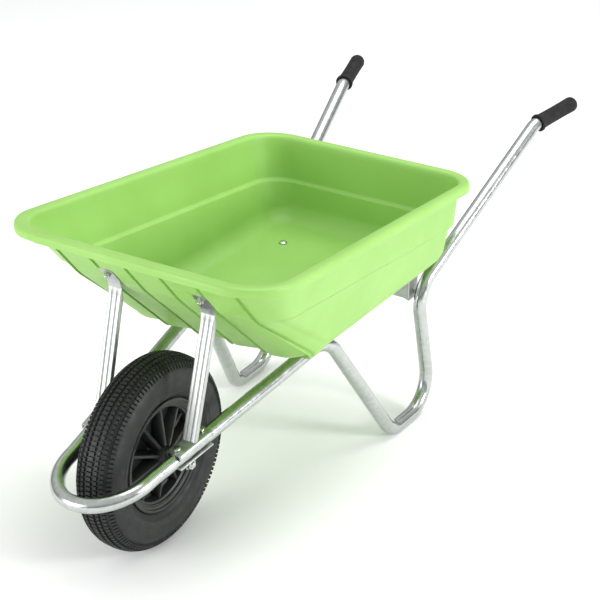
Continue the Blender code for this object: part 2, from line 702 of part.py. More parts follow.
def both_sides(half):
    """Closes half a profile of (radius, across) with its mirror image; it starts and ends at 0."""
    return half + [(radius, -across) for radius, across in reversed(half[1:-1])]


def tyre():
    """Open C section: crown, shoulders, side walls and the two beads."""
    w, r, bead = TYRE_HALF_WIDTH, WHEEL_R, RIM_R - 0.013
    half = [(r, 0.0), (r - 0.001, 0.014), (r - 0.006, 0.028), (r - 0.018, 0.037), (r - 0.036, 0.0425)]
    half += [(r - 0.052, w), (r - 0.070, 0.0405), (r - 0.0815, 0.033), (RIM_R + 0.0012, 0.0292)]
    half += [(bead, 0.0292), (bead, 0.0230), (bead + 0.008, 0.0235), (r - 0.078, 0.029)]
    half += [(r - 0.055, 0.0365), (r - 0.035, 0.0345), (r - 0.020, 0.026), (r - 0.012, 0.0)]
    return turned("tyre", both_sides(half), AXLE_CENTRE, (1, 0, 0), TYRE_RUBBER, 40)


def inner_tube():
    """The inflated tube: a solid ring stands for rubber and air."""
    middle_r, half_r, half_w = WHEEL_R - 0.054, 0.033, 0.030
    angles = [math.tau * i / 12 for i in range(12)]
    loop = [(middle_r + half_r * math.cos(a), -half_w * math.sin(a)) for a in angles]
    return turned("inner_tube", loop, AXLE_CENTRE, (1, 0, 0), TYRE_RUBBER, 32)


def web(index):
    """One radial web of the wheel centre, between the boss and the rim."""
    angle = FIRST_WEB + math.tau * index / WEBS
    turn = Matrix.Translation(AXLE_CENTRE) @ Matrix.Rotation(angle, 4, "X")
    return lambda bm: box(bm, (-0.024, 0.010, -0.0035), (0.024, RIM_R - 0.020, 0.0035), turn)


def valve_point(radius):
    return on_axle(VALVE_X) + Vector((0, math.cos(VALVE_ANGLE), math.sin(VALVE_ANGLE))) * radius


def wheel_rim():
    """Moulded centre: a dished rim, a long boss, a disc and the webs between them."""
    edge, well = RIM_HALF_WIDTH, RIM_R - 0.016
    half = [(well - 0.002, 0.0), (well, 0.020), (well + 0.002, 0.0298), (RIM_R, edge - 0.003)]
    half += [(RIM_R, edge), (RIM_R - 0.007, edge), (well - 0.006, 0.026), (well - 0.007, 0.0)]
    rim = turned("wheel_rim", both_sides(half), AXLE_CENTRE, (1, 0, 0), BLACK_PLASTIC, 40)
    boss = lambda bm: rod(bm, on_axle(-HUB_HALF_LENGTH), on_axle(HUB_HALF_LENGTH), HUB_R, 24)
    disc = lambda bm: rod(bm, on_axle(-0.003), on_axle(0.003), well - 0.004, 40)
    joined = []
    for shape in (boss, disc, *(web(index) for index in range(WEBS))):
        bm = bmesh.new()
        shape(bm)
        joined.append(from_bmesh("wheel_rim_join", bm, BLACK_PLASTIC))
    boolean(rim, joined, "UNION")
    holes = [(on_axle(-HUB_HALF_LENGTH - 0.01), on_axle(HUB_HALF_LENGTH + 0.01), AXLE_R + 0.002)]
    for side in (1, -1):
        seat = on_axle(side * (HUB_HALF_LENGTH - BEARING_LENGTH - GAP))
        holes.append((seat, on_axle(side * (HUB_HALF_LENGTH + 0.01)), BEARING_R + GAP))
    drill(rim, holes, 24)
    drill(rim, [(valve_point(0.085), valve_point(0.110), VALVE_R + GAP)])
    return rim


tyre()
inner_tube()
wheel_rim()
stem = lambda bm: rod(bm, valve_point(0.1120), valve_point(0.068), VALVE_R, 16)
piece("valve_stem", TYRE_RUBBER, stem)
cap = lambda bm: rod(bm, valve_point(0.0800), valve_point(0.064), VALVE_CAP_R, 16)
drill(piece("valve_cap", BLACK_PLASTIC, cap), [(valve_point(0.0677), valve_point(0.090), VALVE_R + GAP)], 16)
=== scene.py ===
"""Looks for the garden wheelbarrow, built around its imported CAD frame.

Metres, +Z up. The wheel is at -Y, the handles are at +Y, and YZ is the plane of symmetry.
"""

import json
import math

import bmesh
import bpy
from mathutils import Matrix, Vector


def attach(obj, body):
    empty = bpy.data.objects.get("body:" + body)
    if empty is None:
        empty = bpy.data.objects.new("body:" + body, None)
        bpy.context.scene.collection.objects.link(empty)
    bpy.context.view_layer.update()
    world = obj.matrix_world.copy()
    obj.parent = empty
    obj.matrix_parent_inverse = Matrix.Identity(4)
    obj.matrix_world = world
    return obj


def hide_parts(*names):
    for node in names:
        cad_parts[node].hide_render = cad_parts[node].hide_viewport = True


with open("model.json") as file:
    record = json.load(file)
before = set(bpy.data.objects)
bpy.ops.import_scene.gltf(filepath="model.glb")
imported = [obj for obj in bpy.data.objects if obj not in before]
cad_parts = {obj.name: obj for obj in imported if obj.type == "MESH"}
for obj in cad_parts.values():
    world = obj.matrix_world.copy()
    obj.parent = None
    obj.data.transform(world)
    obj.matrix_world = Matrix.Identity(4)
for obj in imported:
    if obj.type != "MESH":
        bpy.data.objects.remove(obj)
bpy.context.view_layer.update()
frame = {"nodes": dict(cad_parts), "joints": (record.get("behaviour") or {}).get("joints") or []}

# ---- driving dimensions -------------------------------------------------------------
SIDES = {"right": 1, "left": -1}
AXLE_CENTRE = Vector(frame["joints"][0]["pos_m"])
AXLE_TURN = Matrix.Translation(AXLE_CENTRE) @ Matrix.Rotation(math.radians(90), 4, "Y")

TUBE_R = 0.015
HOOP_HALF, HOOP_DEPTH = 0.0925, 0.115
HOOP_SIDE = Vector((HOOP_HALF, -0.632, 0.2297))
KNEE = Vector((0.156, -0.111, 0.316))
TOE = Vector((0.203, 0.078, TUBE_R))
HEEL = Vector((0.206, 0.2465, TUBE_R))
HIP = Vector((0.1974, 0.197, 0.300))
GRIP_START = Vector((0.2552, 0.6367, 0.5531))
GRIP_AXIS = (Vector((0.2847, 0.7503, 0.5694)) - GRIP_START).normalized()
WRIST = GRIP_START - GRIP_AXIS * 0.012
TUBE_END = GRIP_START + GRIP_AXIS * 0.105
GRIP_LENGTH, GRIP_R, GRIP_COLLAR_R = 0.1262, 0.0176, 0.0205

RIM_TOP_Z, RIM_FALL = 0.637, 0.110  # the tray's rim falls towards the handles
LIP = dict(half_front=0.3125, half_rear=0.2833, front=-0.5653, rear=0.3275)
WALL_TOP = dict(half_front=0.2885, half_rear=0.2613, front=-0.535, rear=0.3065)
LEDGE_TOP = dict(half_front=0.266, half_rear=0.251, front=-0.4555, rear=0.3055)
LEDGE_FOOT = dict(half_front=0.257, half_rear=0.242, front=-0.441, rear=0.298)
FLOOR = dict(half_front=0.182, half_rear=0.182, front=-0.249, rear=0.247)
FLOOR_Z, TRAY_WALL, FLOOR_FILLET = 0.344, 0.004, 0.050
PAD_SIZE, PAD_MIDDLE = (0.046, 0.062, 0.020), (0.156, -0.149, 0.3345)
LEDGE_TOP_DROP, LEDGE_FOOT_DROP, LIP_DEPTH = 0.101, 0.110, 0.0185
STRAKES = (-0.200, -0.119, -0.039, 0.042, 0.1235, 0.214)
STRAKE_HEIGHT, UPPER_STRAKE_HEIGHT, SHADOW_LINE = 0.0095, 0.0062, 0.0048
# (distance from a board's proud edge, share of SHADOW_LINE) across the groove beside it
GROOVE = ((0.0006, 0), (0.0011, 0), (0.0014, 0.95), (0.0034, 1), (0.0060, 0.75), (0.0086, 0.25), (0.0110, 0))
STRAKE_END = 0.250  # distance round from the middle of the front where the last step has faded

STAY_X, STAY_HALF, STAY_DEPTH, SHEET = 0.1085, 0.016, 0.009, 0.0022
STAY_BASE = Vector((0.105, -0.5265, 0.2655))
STAY_HEAD = Vector((STAY_X, -0.4587, 0.488))
STAY_FOOT_Y = -0.521


# ---- mesh tools -----------------------------------------------------------------------
def mirrored(point, side):
    """The point on the given side, 1 for the right and -1 for the left."""
    return Vector((side * point[0], point[1], point[2]))


def piece(name, bm, body, finish, nodes, smooth_below=40):
    """Turns bm into a finished piece that rides on body and stands for the CAD nodes."""
    bmesh.ops.remove_doubles(bm, verts=bm.verts, dist=0.000002)
    bmesh.ops.recalc_face_normals(bm, faces=bm.faces)
    mesh = bpy.data.meshes.new(name)
    bm.to_mesh(mesh)
    bm.free()
    mesh.shade_smooth()
    mesh.set_sharp_from_angle(angle=math.radians(smooth_below))
    obj = bpy.data.objects.new(name, mesh)
    bpy.context.scene.collection.objects.link(obj)
    mesh.materials.append(finish)
    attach(obj, body)
    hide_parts(*nodes)
    return obj


def loft(bm, rings):
    """A closed skin through rings of points: each ring is extruded from the one before it."""
    row = [bm.verts.new(point) for point in rings[0]]
    edges = [bm.edges.new((row[i - 1], row[i])) for i in range(len(row))]
    bmesh.ops.contextual_create(bm, geom=edges)
    for ring in rings[1:]:
        grown = bmesh.ops.extrude_edge_only(bm, edges=edges)["geom"]
        fresh = {part for part in grown if isinstance(part, bmesh.types.BMVert)}
        edges = [part for part in grown if isinstance(part, bmesh.types.BMEdge)]
        row = [next(e.other_vert(v) for e in v.link_edges if e.other_vert(v) in fresh) for v in row]
        for vert, point in zip(row, ring):
            vert.co = point
    bmesh.ops.contextual_create(bm, geom=edges)


def spun(bm, profile, place, steps):
    """Spins a profile of (radius, height) once about the Z axis of place."""
    verts = [bm.verts.new(place @ Vector((radius, 0, height))) for radius, height in profile]
    edges = [bm.edges.new(pair) for pair in zip(verts, verts[1:])]
    axis = (place.to_3x3() @ Vector((0, 0, 1))).normalized()
    bmesh.ops.spin(
        bm,
        geom=verts + edges,
        cent=place.translation,
        axis=axis,
        angle=math.tau,
        steps=steps,
        use_merge=True,
    )


def rounded_box(bm, size, place, round_off, segments=3):
    """A box with every edge rounded."""
    made = bmesh.ops.create_cube(bm, size=1, matrix=place @ Matrix.Diagonal((*size, 1)))
    edges = {edge for vert in made["verts"] for edge in vert.link_edges}
    bmesh.ops.bevel(
        bm, geom=list(edges), offset=round_off, segments=segments, affect="EDGES", profile=0.5, material=-1
    )


def rounded_copies(names, width, body, finish):
    """Each CAD fitting again with its sharp edges broken, as pressed or forged steel has them."""
    for name in names:
        bm = bmesh.new()
        bm.from_mesh(frame["nodes"][name].data)
        bmesh.ops.remove_doubles(bm, verts=bm.verts, dist=0.00001)
        bmesh.ops.dissolve_limit(
            bm, angle_limit=math.radians(2), verts=bm.verts, edges=bm.edges, use_dissolve_boundaries=False
        )
        sharp = [e for e in bm.edges if len(e.link_faces) == 2 and e.calc_face_angle() > math.radians(35)]
        bmesh.ops.bevel(
            bm,
            geom=sharp,
            offset=width,
            segments=2,
            affect="EDGES",
            profile=0.5,
            material=-1,
            clamp_overlap=True,
        )
        piece(f"{name}_finished", bm, body, finish, [name])


def bend(before, corner, after, radius, steps=16):
    """Points of the arc that rounds a corner between two straight runs."""
    back, ahead = (before - corner).normalized(), (after - corner).normalized()
    half_turn = (math.pi - back.angle(ahead)) / 2
    reach = radius * math.tan(half_turn)
    middle = corner + (back + ahead).normalized() * radius / math.cos(half_turn)
    start, end = corner + back * reach - middle, corner + ahead * reach - middle
    return [middle + start.slerp(end, i / steps) * radius for i in range(steps + 1)]


# ---- material tools -------------------------------------------------------------------
def srgb(code):
    """The linear colour of an sRGB hex code."""
    parts = [int(code[i : i + 2], 16) / 255 for i in (1, 3, 5)]
    return (*[p / 12.92 if p <= 0.04045 else ((p + 0.055) / 1.055) ** 2.4 for p in parts], 1)


def add(tree, kind, inputs=None, **settings):
    """Adds a node: settings are its properties, and inputs its values or the sockets that feed it."""
    node = tree.nodes.new(f"ShaderNode{kind}")
    for key, value in settings.items():
        setattr(node, key, value)
    for key, value in (inputs or {}).items():
        if isinstance(value, bpy.types.NodeSocket):
            tree.links.new(value, node.inputs[key])
        else:
            node.inputs[key].default_value = value
    return node


def new_finish(name):
    """An empty material with its shader and the piece's own coordinates."""
    finish = bpy.data.materials.new(name)
    finish.use_nodes = True
    tree = finish.node_tree
    shader = tree.nodes["Principled BSDF"]
    return finish, tree, shader, add(tree, "TexCoord").outputs["Object"]


def noise(tree, where, size_mm, detail=4.0, roughness=0.55):
    """Noise whose blotches are about size_mm across."""
    return add(
        tree,
        "TexNoise",
        {"Vector": where, "Scale": 1000 / size_mm, "Detail": detail, "Roughness": roughness},
    ).outputs["Fac"]


def spread(tree, value, low, high, to_low, to_high):
    """Stretches the range low to high onto to_low to to_high."""
    return add(
        tree,
        "MapRange",
        {"Value": value, "From Min": low, "From Max": high, "To Min": to_low, "To Max": to_high},
    ).outputs["Result"]


def blend(tree, share, one, other):
    """Mixes two colours, each a colour or a socket."""
    mix = add(tree, "Mix", {"Factor": share}, data_type="RGBA")
    sockets = [s for s in mix.inputs if s.type == "RGBA"]
    for socket, value in zip(sockets, (one, other)):
        if isinstance(value, bpy.types.NodeSocket):
            tree.links.new(value, socket)
        else:
            socket.default_value = value
    return next(s for s in mix.outputs if s.type == "RGBA")


def bump(tree, height, depth_mm, strength=1.0, after=None):
    """Relief of depth_mm, laid over the relief that comes before it."""
    inputs = {"Height": height, "Distance": depth_mm / 1000, "Strength": strength}
    if after:
        inputs["Normal"] = after
    return add(tree, "Bump", inputs).outputs["Normal"]


def feed(tree, shader, **sockets):
    """Links values to the shader's sockets, whose names are written with _ for a space."""
    for name, value in sockets.items():
        tree.links.new(value, shader.inputs[name.replace("_", " ")])


# ---- finishes -------------------------------------------------------------------------
def polypropylene():
    """Injection-moulded polypropylene: a satin green skin with a fine spark-eroded grain that
    spreads the light, faint cloudy flow marks, and pale rubs where loads have slid."""
    finish, tree, shader, where = new_finish("moulded_polypropylene")
    flow = noise(tree, where, 160, 3)
    cloud = blend(tree, spread(tree, flow, 0.35, 0.65, 0, 1), srgb("#8DBC5C"), srgb("#93C263"))
    rub_patch = spread(tree, noise(tree, where, 70, 6, 0.7), 0.60, 0.72, 0, 1)
    streaks = add(tree, "Mapping", {"Vector": where, "Scale": (1.0, 9.0, 1.0)}).outputs["Vector"]
    scratch = spread(tree, noise(tree, streaks, 14, 2, 0.4), 0.62, 0.66, 0, 1)
    rubbed = add(tree, "Math", {0: rub_patch, 1: scratch}, operation="MULTIPLY").outputs["Value"]
    faint = add(tree, "Math", {0: rubbed, 1: 0.16}, operation="MULTIPLY").outputs["Value"]
    grain = noise(tree, where, 1.4, 2, 0.5)
    rough = add(
        tree,
        "Math",
        {0: spread(tree, noise(tree, where, 38, 5), 0.3, 0.7, 0.40, 0.50), 1: faint},
        operation="ADD",
    ).outputs["Value"]
    waves = bump(tree, noise(tree, where, 55, 1, 0.3), 0.25, 0.4)
    feed(
        tree,
        shader,
        Base_Color=blend(tree, faint, cloud, srgb("#DDEFC6")),
        Roughness=rough,
        Normal=bump(tree, grain, 0.10, 0.55, waves),
    )
    shader.inputs["IOR"].default_value = 1.49
    shader.inputs["Specular IOR Level"].default_value = 0.45
    return finish


def galvanised(name, smoothest, roughest):
    """Galvanised mild steel: bright grey zinc with a hardly seen bloom of crystals. Drawn tube is
    smooth and throws long clean highlights between darker edges; pressed sheet is softer."""
    finish, tree, shader, where = new_finish(name)
    crystals = add(tree, "TexVoronoi", {"Vector": where, "Scale": 1000 / 7}, feature="F1").outputs["Color"]
    crystal_tone = add(tree, "RGBToBW", {"Color": crystals}).outputs["Val"]
    cloud = noise(tree, where, 30, 4, 0.5)
    mixed = add(tree, "Math", {0: crystal_tone, 1: cloud}, operation="MULTIPLY").outputs["Value"]
    tone = blend(tree, spread(tree, mixed, 0.1, 0.4, 0, 1), srgb("#B4B8B6"), srgb("#C0C3C1"))
    feed(
        tree,
        shader,
        Base_Color=tone,
        Roughness=spread(tree, mixed, 0.05, 0.45, smoothest, roughest),
        Normal=bump(tree, noise(tree, where, 2.2, 3, 0.6), 0.02, 0.30, bump(tree, cloud, 0.10, 0.20)),
    )
    shader.inputs["Metallic"].default_value = 1.0
    return finish


def zinc_plate():
    """Bright zinc-plated steel: small forged fittings with a clean, slightly cloudy mirror."""
    finish, tree, shader, where = new_finish("zinc_plated_steel")
    cloud = noise(tree, where, 4, 4, 0.6)
    feed(
        tree,
        shader,
        Base_Color=blend(tree, spread(tree, cloud, 0.35, 0.65, 0, 1), srgb("#B9BBB8"), srgb("#D6D6CF")),
        Roughness=spread(tree, cloud, 0.3, 0.7, 0.18, 0.34),
        Normal=bump(tree, noise(tree, where, 0.9, 2), 0.03, 0.30),
    )
    shader.inputs["Metallic"].default_value = 1.0
    return finish


def tyre_rubber():
    """Moulded tyre rubber: carbon black with a grey bloom, patches of dry dust and a
    softly rough skin that keeps a broad, dim sheen."""
    finish, tree, shader, where = new_finish("tyre_rubber")
    dust = spread(tree, noise(tree, where, 42, 6, 0.6), 0.42, 0.70, 0, 1)
    feed(
        tree,
        shader,
        Base_Color=blend(tree, dust, srgb("#131414"), srgb("#1B1C1C")),
        Roughness=spread(tree, noise(tree, where, 18, 4), 0.3, 0.7, 0.52, 0.70),
        Normal=bump(tree, noise(tree, where, 1.1, 3), 0.12, 0.45),
    )
    shader.inputs["IOR"].default_value = 1.52
    return finish


def hub_nylon():
    """Black glass-filled nylon: a satin moulding with a fine grain and slightly grey, dry ribs."""
    finish, tree, shader, where = new_finish("black_nylon")
    bloom = spread(tree, noise(tree, where, 26, 5), 0.4, 0.7, 0, 1)
    feed(
        tree,
        shader,
        Base_Color=blend(tree, bloom, srgb("#1A1B1C"), srgb("#252627")),
        Roughness=spread(tree, noise(tree, where, 9, 3), 0.3, 0.7, 0.36, 0.52),
        Normal=bump(tree, noise(tree, where, 0.8, 2), 0.06, 0.40),
    )
    shader.inputs["IOR"].default_value = 1.53
    return finish


def grip_pvc():
    """Soft dipped PVC: charcoal, matt, with an orange-peel grain and patches of hands' polish."""
    finish, tree, shader, where = new_finish("grip_pvc")
    worn = spread(tree, noise(tree, where, 22, 4), 0.4, 0.7, 0, 1)
    feed(
        tree,
        shader,
        Base_Color=blend(tree, worn, srgb("#161616"), srgb("#1E1E1E")),
        Roughness=spread(tree, worn, 0, 1, 0.78, 0.64),
        Normal=bump(tree, noise(tree, where, 1.8, 2), 0.25, 0.60),
    )
    shader.inputs["Specular IOR Level"].default_value = 0.32
    return finish


POLYPROPYLENE = polypropylene()
GALVANISED_TUBE = galvanised("galvanised_tube", 0.17, 0.25)
GALVANISED_SHEET = galvanised("galvanised_sheet", 0.38, 0.48)
ZINC = zinc_plate()
RUBBER = tyre_rubber()
NYLON = hub_nylon()
GRIP = grip_pvc()


# ---- tray -----------------------------------------------------------------------------
def rim_z(y, drop):
    """Height of a line that runs drop below the tray's sloping rim."""
    return RIM_TOP_Z - RIM_FALL * (y - LIP["front"]) - drop


def part_way(one, other, share):
    """The outline that lies a share of the way from one to the other."""
    return {key: one[key] + (other[key] - one[key]) * share for key in one}


def inset(outline, amount, front_amount):
    """The outline drawn in, by its own amount at the sloping front."""
    return dict(
        half_front=outline["half_front"] - amount,
        half_rear=outline["half_rear"] - amount,
        front=outline["front"] + front_amount,
        rear=outline["rear"] - amount,
    )


def strake_samples(spacing=0.004, step=0.0012):
    """(distance, share, cut): lapped boards, each proud at one edge and flush by the next one's.

    A narrow groove of depth cut runs beside each proud edge and draws a dark line there."""
    samples = [(-STRAKE_END, 0.0, 0.0)]
    groove_end = GROOVE[-1][0]
    for start, end in zip(STRAKES, (*STRAKES[1:], STRAKE_END)):
        run = end - start - step
        samples += [(start - step, 0.0, 0.0), (start - step * 0.4, 0.80, 0.0), (start, 0.97, 0.0)]
        samples += [(start + reach, 1 - reach / run, cut * SHADOW_LINE) for reach, cut in GROOVE]
        count = round((run - groove_end) / spacing)
        for i in range(1, count):
            reach = groove_end + (run - groove_end) * i / count
            samples.append((start + reach, 1 - reach / run, 0.0))
    return samples + [(STRAKE_END, 0.0, 0.0)]


FRONT_SAMPLES = strake_samples()
TAB_CLEAR = 0.021  # half the width of the flat that the stay's tab needs
SIDE_STEPS, REAR_STEPS, CORNER_STEPS = 20, 14, 8
QUARTER = math.pi / 2


def front_point(outline, heights, corner_r, angle, side, push, x_flat=None):
    """A point of the front at an angle round its corner, or at x_flat on the straight run, pushed
    outward and down by push."""
    share = angle / QUARTER
    edge = outline["half_front"] - corner_r
    x = side * (edge + corner_r * math.sin(angle)) if x_flat is None else x_flat
    y = outline["front"] + corner_r * (1 - math.cos(angle))
    z = heights(0, y) * (1 - share) + heights(1, y) * share
    fall = push / math.sqrt(2)
    return Vector((x + side * math.sin(angle) * fall, y - math.cos(angle) * fall, z - fall))


def front_run(outline, heights, corner_r, relief, keep_tabs_flat):
    """The front of a loop, from the left side to the right one, with its boards."""
    edge = outline["half_front"] - corner_r
    shrink = min(1.0, 0.97 * (edge + corner_r * QUARTER) / STRAKE_END)
    last_angle = (STRAKE_END * shrink - edge) / corner_r
    points = []
    for i in range(CORNER_STEPS):
        angle = QUARTER + (last_angle - QUARTER) * i / CORNER_STEPS
        points.append(front_point(outline, heights, corner_r, angle, -1, 0))
    for distance, proud, cut in FRONT_SAMPLES:
        along = distance * shrink
        push = proud * relief - cut * min(1, relief / UPPER_STRAKE_HEIGHT)
        if keep_tabs_flat and abs(abs(along) - STAY_X) < TAB_CLEAR:
            push = 0
        if abs(along) <= edge:
            points.append(front_point(outline, heights, corner_r, 0, 1, push, along))
        else:
            angle = (abs(along) - edge) / corner_r
            side = math.copysign(1, along)
            points.append(front_point(outline, heights, corner_r, angle, side, push))
    for i in range(1, CORNER_STEPS + 1):
        angle = last_angle + (QUARTER - last_angle) * i / CORNER_STEPS
        points.append(front_point(outline, heights, corner_r, angle, 1, 0))
    return points


def rear_corner(outline, heights, corner_r, side, first_angle, parts):
    """A rear corner; its height passes from the first of parts to the second."""
    centre_x, centre_y = side * (outline["half_rear"] - corner_r), outline["rear"] - corner_r
    points = []
    for i in range(REAR_STEPS + 1):
        share = i / REAR_STEPS
        angle = math.radians(first_angle + 90 * i / REAR_STEPS)
        y = centre_y + corner_r * math.sin(angle)
        z = heights(parts[0], y) * (1 - share) + heights(parts[1], y) * i / REAR_STEPS
        points.append(Vector((centre_x + corner_r * math.cos(angle), y, z)))
    return points


def tray_ring(outline, heights, corners, relief=0.0, keep_tabs_flat=False):
    """One loop round the tray; heights gives z from (part, y): part 0 front, 1 side, 2 rear."""
    front_r, rear_r = corners
    points = front_run(outline, heights, front_r, relief, keep_tabs_flat)
    half, rear = outline["half_rear"] - rear_r, outline["rear"] - rear_r
    side_start = points[-1].copy()
    side_end = Vector((outline["half_rear"], rear, heights(1, rear)))
    points += [side_start.lerp(side_end, i / SIDE_STEPS) for i in range(1, SIDE_STEPS)]
    points += rear_corner(outline, heights, rear_r, 1, 0, (1, 2))
    right = Vector((half, outline["rear"], heights(2, outline["rear"])))
    left = mirrored(right, -1)
    points += [right.lerp(left, i / REAR_STEPS) for i in range(1, REAR_STEPS)]
    points += rear_corner(outline, heights, rear_r, -1, 90, (2, 1))
    left_start, left_end = mirrored(side_end, -1), mirrored(side_start, -1)
    points += [left_start.lerp(left_end, i / SIDE_STEPS) for i in range(1, SIDE_STEPS)]
    return points


def on_rim(drop):
    """Heights for tray_ring that follow the rim all the way round."""
    return lambda part, y: rim_z(y, drop)


def fillet_ring(share, radius, floor_z, relief=0.0):
    """A loop of the rounding between floor and walls; the walls stand at different slopes."""
    turns = [math.radians(full * share) for full in (45, 78, 86)]
    front, flank, rear = (radius * math.sin(turn) for turn in turns)
    rises = [radius * (1 - math.cos(turn)) for turn in turns]
    outline = dict(
        half_front=FLOOR["half_front"] + flank,
        half_rear=FLOOR["half_rear"] + flank,
        front=FLOOR["front"] - front,
        rear=FLOOR["rear"] + rear,
    )
    corner = 0.035 + 0.03 * share
    return tray_ring(outline, lambda part, y: floor_z + rises[part], (corner, corner), relief)


def softened(keys):
    """Rounds the skin where it turns at a ring: keys are (ring, reach of the rounding, steps)."""
    rings = []
    for k, (ring, reach, steps) in enumerate(keys):
        if not reach:
            rings.append(ring)
            continue
        before, after = keys[k - 1][0], keys[k + 1][0]
        for i in range(steps + 1):
            share = i / steps
            row = []
            for back, corner, ahead in zip(before, ring, after):
                start = corner.lerp(back, min(0.48, reach / (back - corner).length))
                end = corner.lerp(ahead, min(0.48, reach / (ahead - corner).length))
                row.append(start.lerp(corner, share).lerp(corner.lerp(end, share), share))
            rings.append(row)
    return rings


def tray_keys():
    """Keys for softened, from the underside of the floor, up outside, over the lip and down in."""
    fillet_steps = 9
    shares = [i / fillet_steps for i in range(fillet_steps + 1)]
    lower = [(fillet_ring(s, FLOOR_FILLET, FLOOR_Z, STRAKE_HEIGHT * min(1, 1.6 * s)), 0, 0) for s in shares]
    foot = tray_ring(LEDGE_FOOT, on_rim(LEDGE_FOOT_DROP), (0.050, 0.065), STRAKE_HEIGHT)
    lower.append((foot, 0.0022, 4))
    upper = []
    upper_steps = 12
    for i in range(upper_steps):
        share = i / upper_steps
        outline = part_way(LEDGE_TOP, WALL_TOP, share)
        corners = (0.056 + 0.024 * share, 0.072)
        drop = LEDGE_TOP_DROP + (0.012 - LEDGE_TOP_DROP) * share
        fade = UPPER_STRAKE_HEIGHT * min(1, 4 * (1 - share))
        ring = tray_ring(outline, on_rim(drop), corners, fade, keep_tabs_flat=share < 0.40)
        upper.append((ring, 0.0030 if i == 0 else 0, 4))
    lip = []
    lip_corners, wall_corners = (0.105, 0.093), (0.080, 0.072)
    for share, drop, reach in (
        (0.0, 0.0065, 0.004),
        (0.86, 0.0060, 0.002),
        (0.87, LIP_DEPTH, 0.0012),
        (1.0, LIP_DEPTH, 0.0018),
        (1.0, 0.0008, 0.0085),
        (0.55, -0.0004, 0.004),
        (-0.10, 0.0016, 0.0075),
    ):
        corners = tuple(w + (c - w) * share for w, c in zip(wall_corners, lip_corners))
        lip.append((tray_ring(part_way(WALL_TOP, LIP, share), on_rim(drop), corners), reach, 5))
    wall = TRAY_WALL
    inner_drop = LEDGE_FOOT_DROP - wall
    inner = [(tray_ring(inset(WALL_TOP, wall + 0.001, wall + 0.004), on_rim(0.022), (0.075, 0.067)), 0, 0)]
    inner.append(
        (tray_ring(inset(LEDGE_TOP, wall, 1.3 * wall), on_rim(LEDGE_TOP_DROP), (0.052, 0.068)), 0.003, 4)
    )
    inner.append(
        (tray_ring(inset(LEDGE_FOOT, wall, 1.4 * wall), on_rim(inner_drop), (0.046, 0.061)), 0.0025, 4)
    )
    inner += [(fillet_ring(s, FLOOR_FILLET - wall, FLOOR_Z + wall), 0, 0) for s in reversed(shares)]
    return lower + upper + lip + inner


def tray():
    """The moulding, with the two pads under its floor."""
    bm = bmesh.new()
    loft(bm, softened(tray_keys()))
    for side in SIDES.values():
        rounded_box(bm, PAD_SIZE, Matrix.Translation(mirrored(PAD_MIDDLE, side)), 0.004)
    piece("tray_moulding", bm, "root", POLYPROPYLENE, ["tray"], 50)


# ---- frame tube -----------------------------------------------------------------------
def side_route():
    """The tube's centre line on one side, from inside the grip down to the hoop."""
    route = [TUBE_END]
    route += bend(TUBE_END, WRIST, HIP, 0.045)
    route += bend(WRIST, HIP, HEEL, 0.080)
    route += bend(HIP, HEEL, TOE, 0.075, 24)
    route += bend(HEEL, TOE, KNEE, 0.050)
    route += bend(TOE, KNEE, HOOP_SIDE, 0.075)
    return route


def hoop_route(steps=56):
    """The tube's centre line round the front of the wheel, from right to left."""
    forward = HOOP_SIDE - KNEE
    forward.x = 0
    forward.normalize()
    centre = Vector((0, HOOP_SIDE.y, HOOP_SIDE.z))
    across = Vector((HOOP_HALF, 0, 0))
    ahead = forward * HOOP_DEPTH
    angles = [math.pi * i / steps for i in range(steps + 1)]
    return [centre + across * math.cos(angle) + ahead * math.sin(angle) for angle in angles]


def frame_tube():
    """One tube swept along both sides and the hoop."""
    right = side_route()
    route = right + hoop_route() + [mirrored(point, -1) for point in reversed(right)]
    line = bpy.data.curves.new("tube_route", "CURVE")
    line.dimensions = "3D"
    line.bevel_depth = TUBE_R
    line.bevel_resolution = 14
    line.use_fill_caps = True
    spline = line.splines.new("POLY")
    spline.points.add(len(route) - 1)
    for point, place in zip(spline.points, route):
        point.co = (*place, 1)
    guide = bpy.data.objects.new("tube_route", line)
    bpy.context.scene.collection.objects.link(guide)
    graph = bpy.context.evaluated_depsgraph_get()
    swept = bpy.data.meshes.new_from_object(guide.evaluated_get(graph))
    bm = bmesh.new()
    bm.from_mesh(swept)
    bpy.data.objects.remove(guide, do_unlink=True)
    bpy.data.meshes.remove(swept)
    piece("bent_frame_tube", bm, "root", GALVANISED_TUBE, ["frame_tube"])


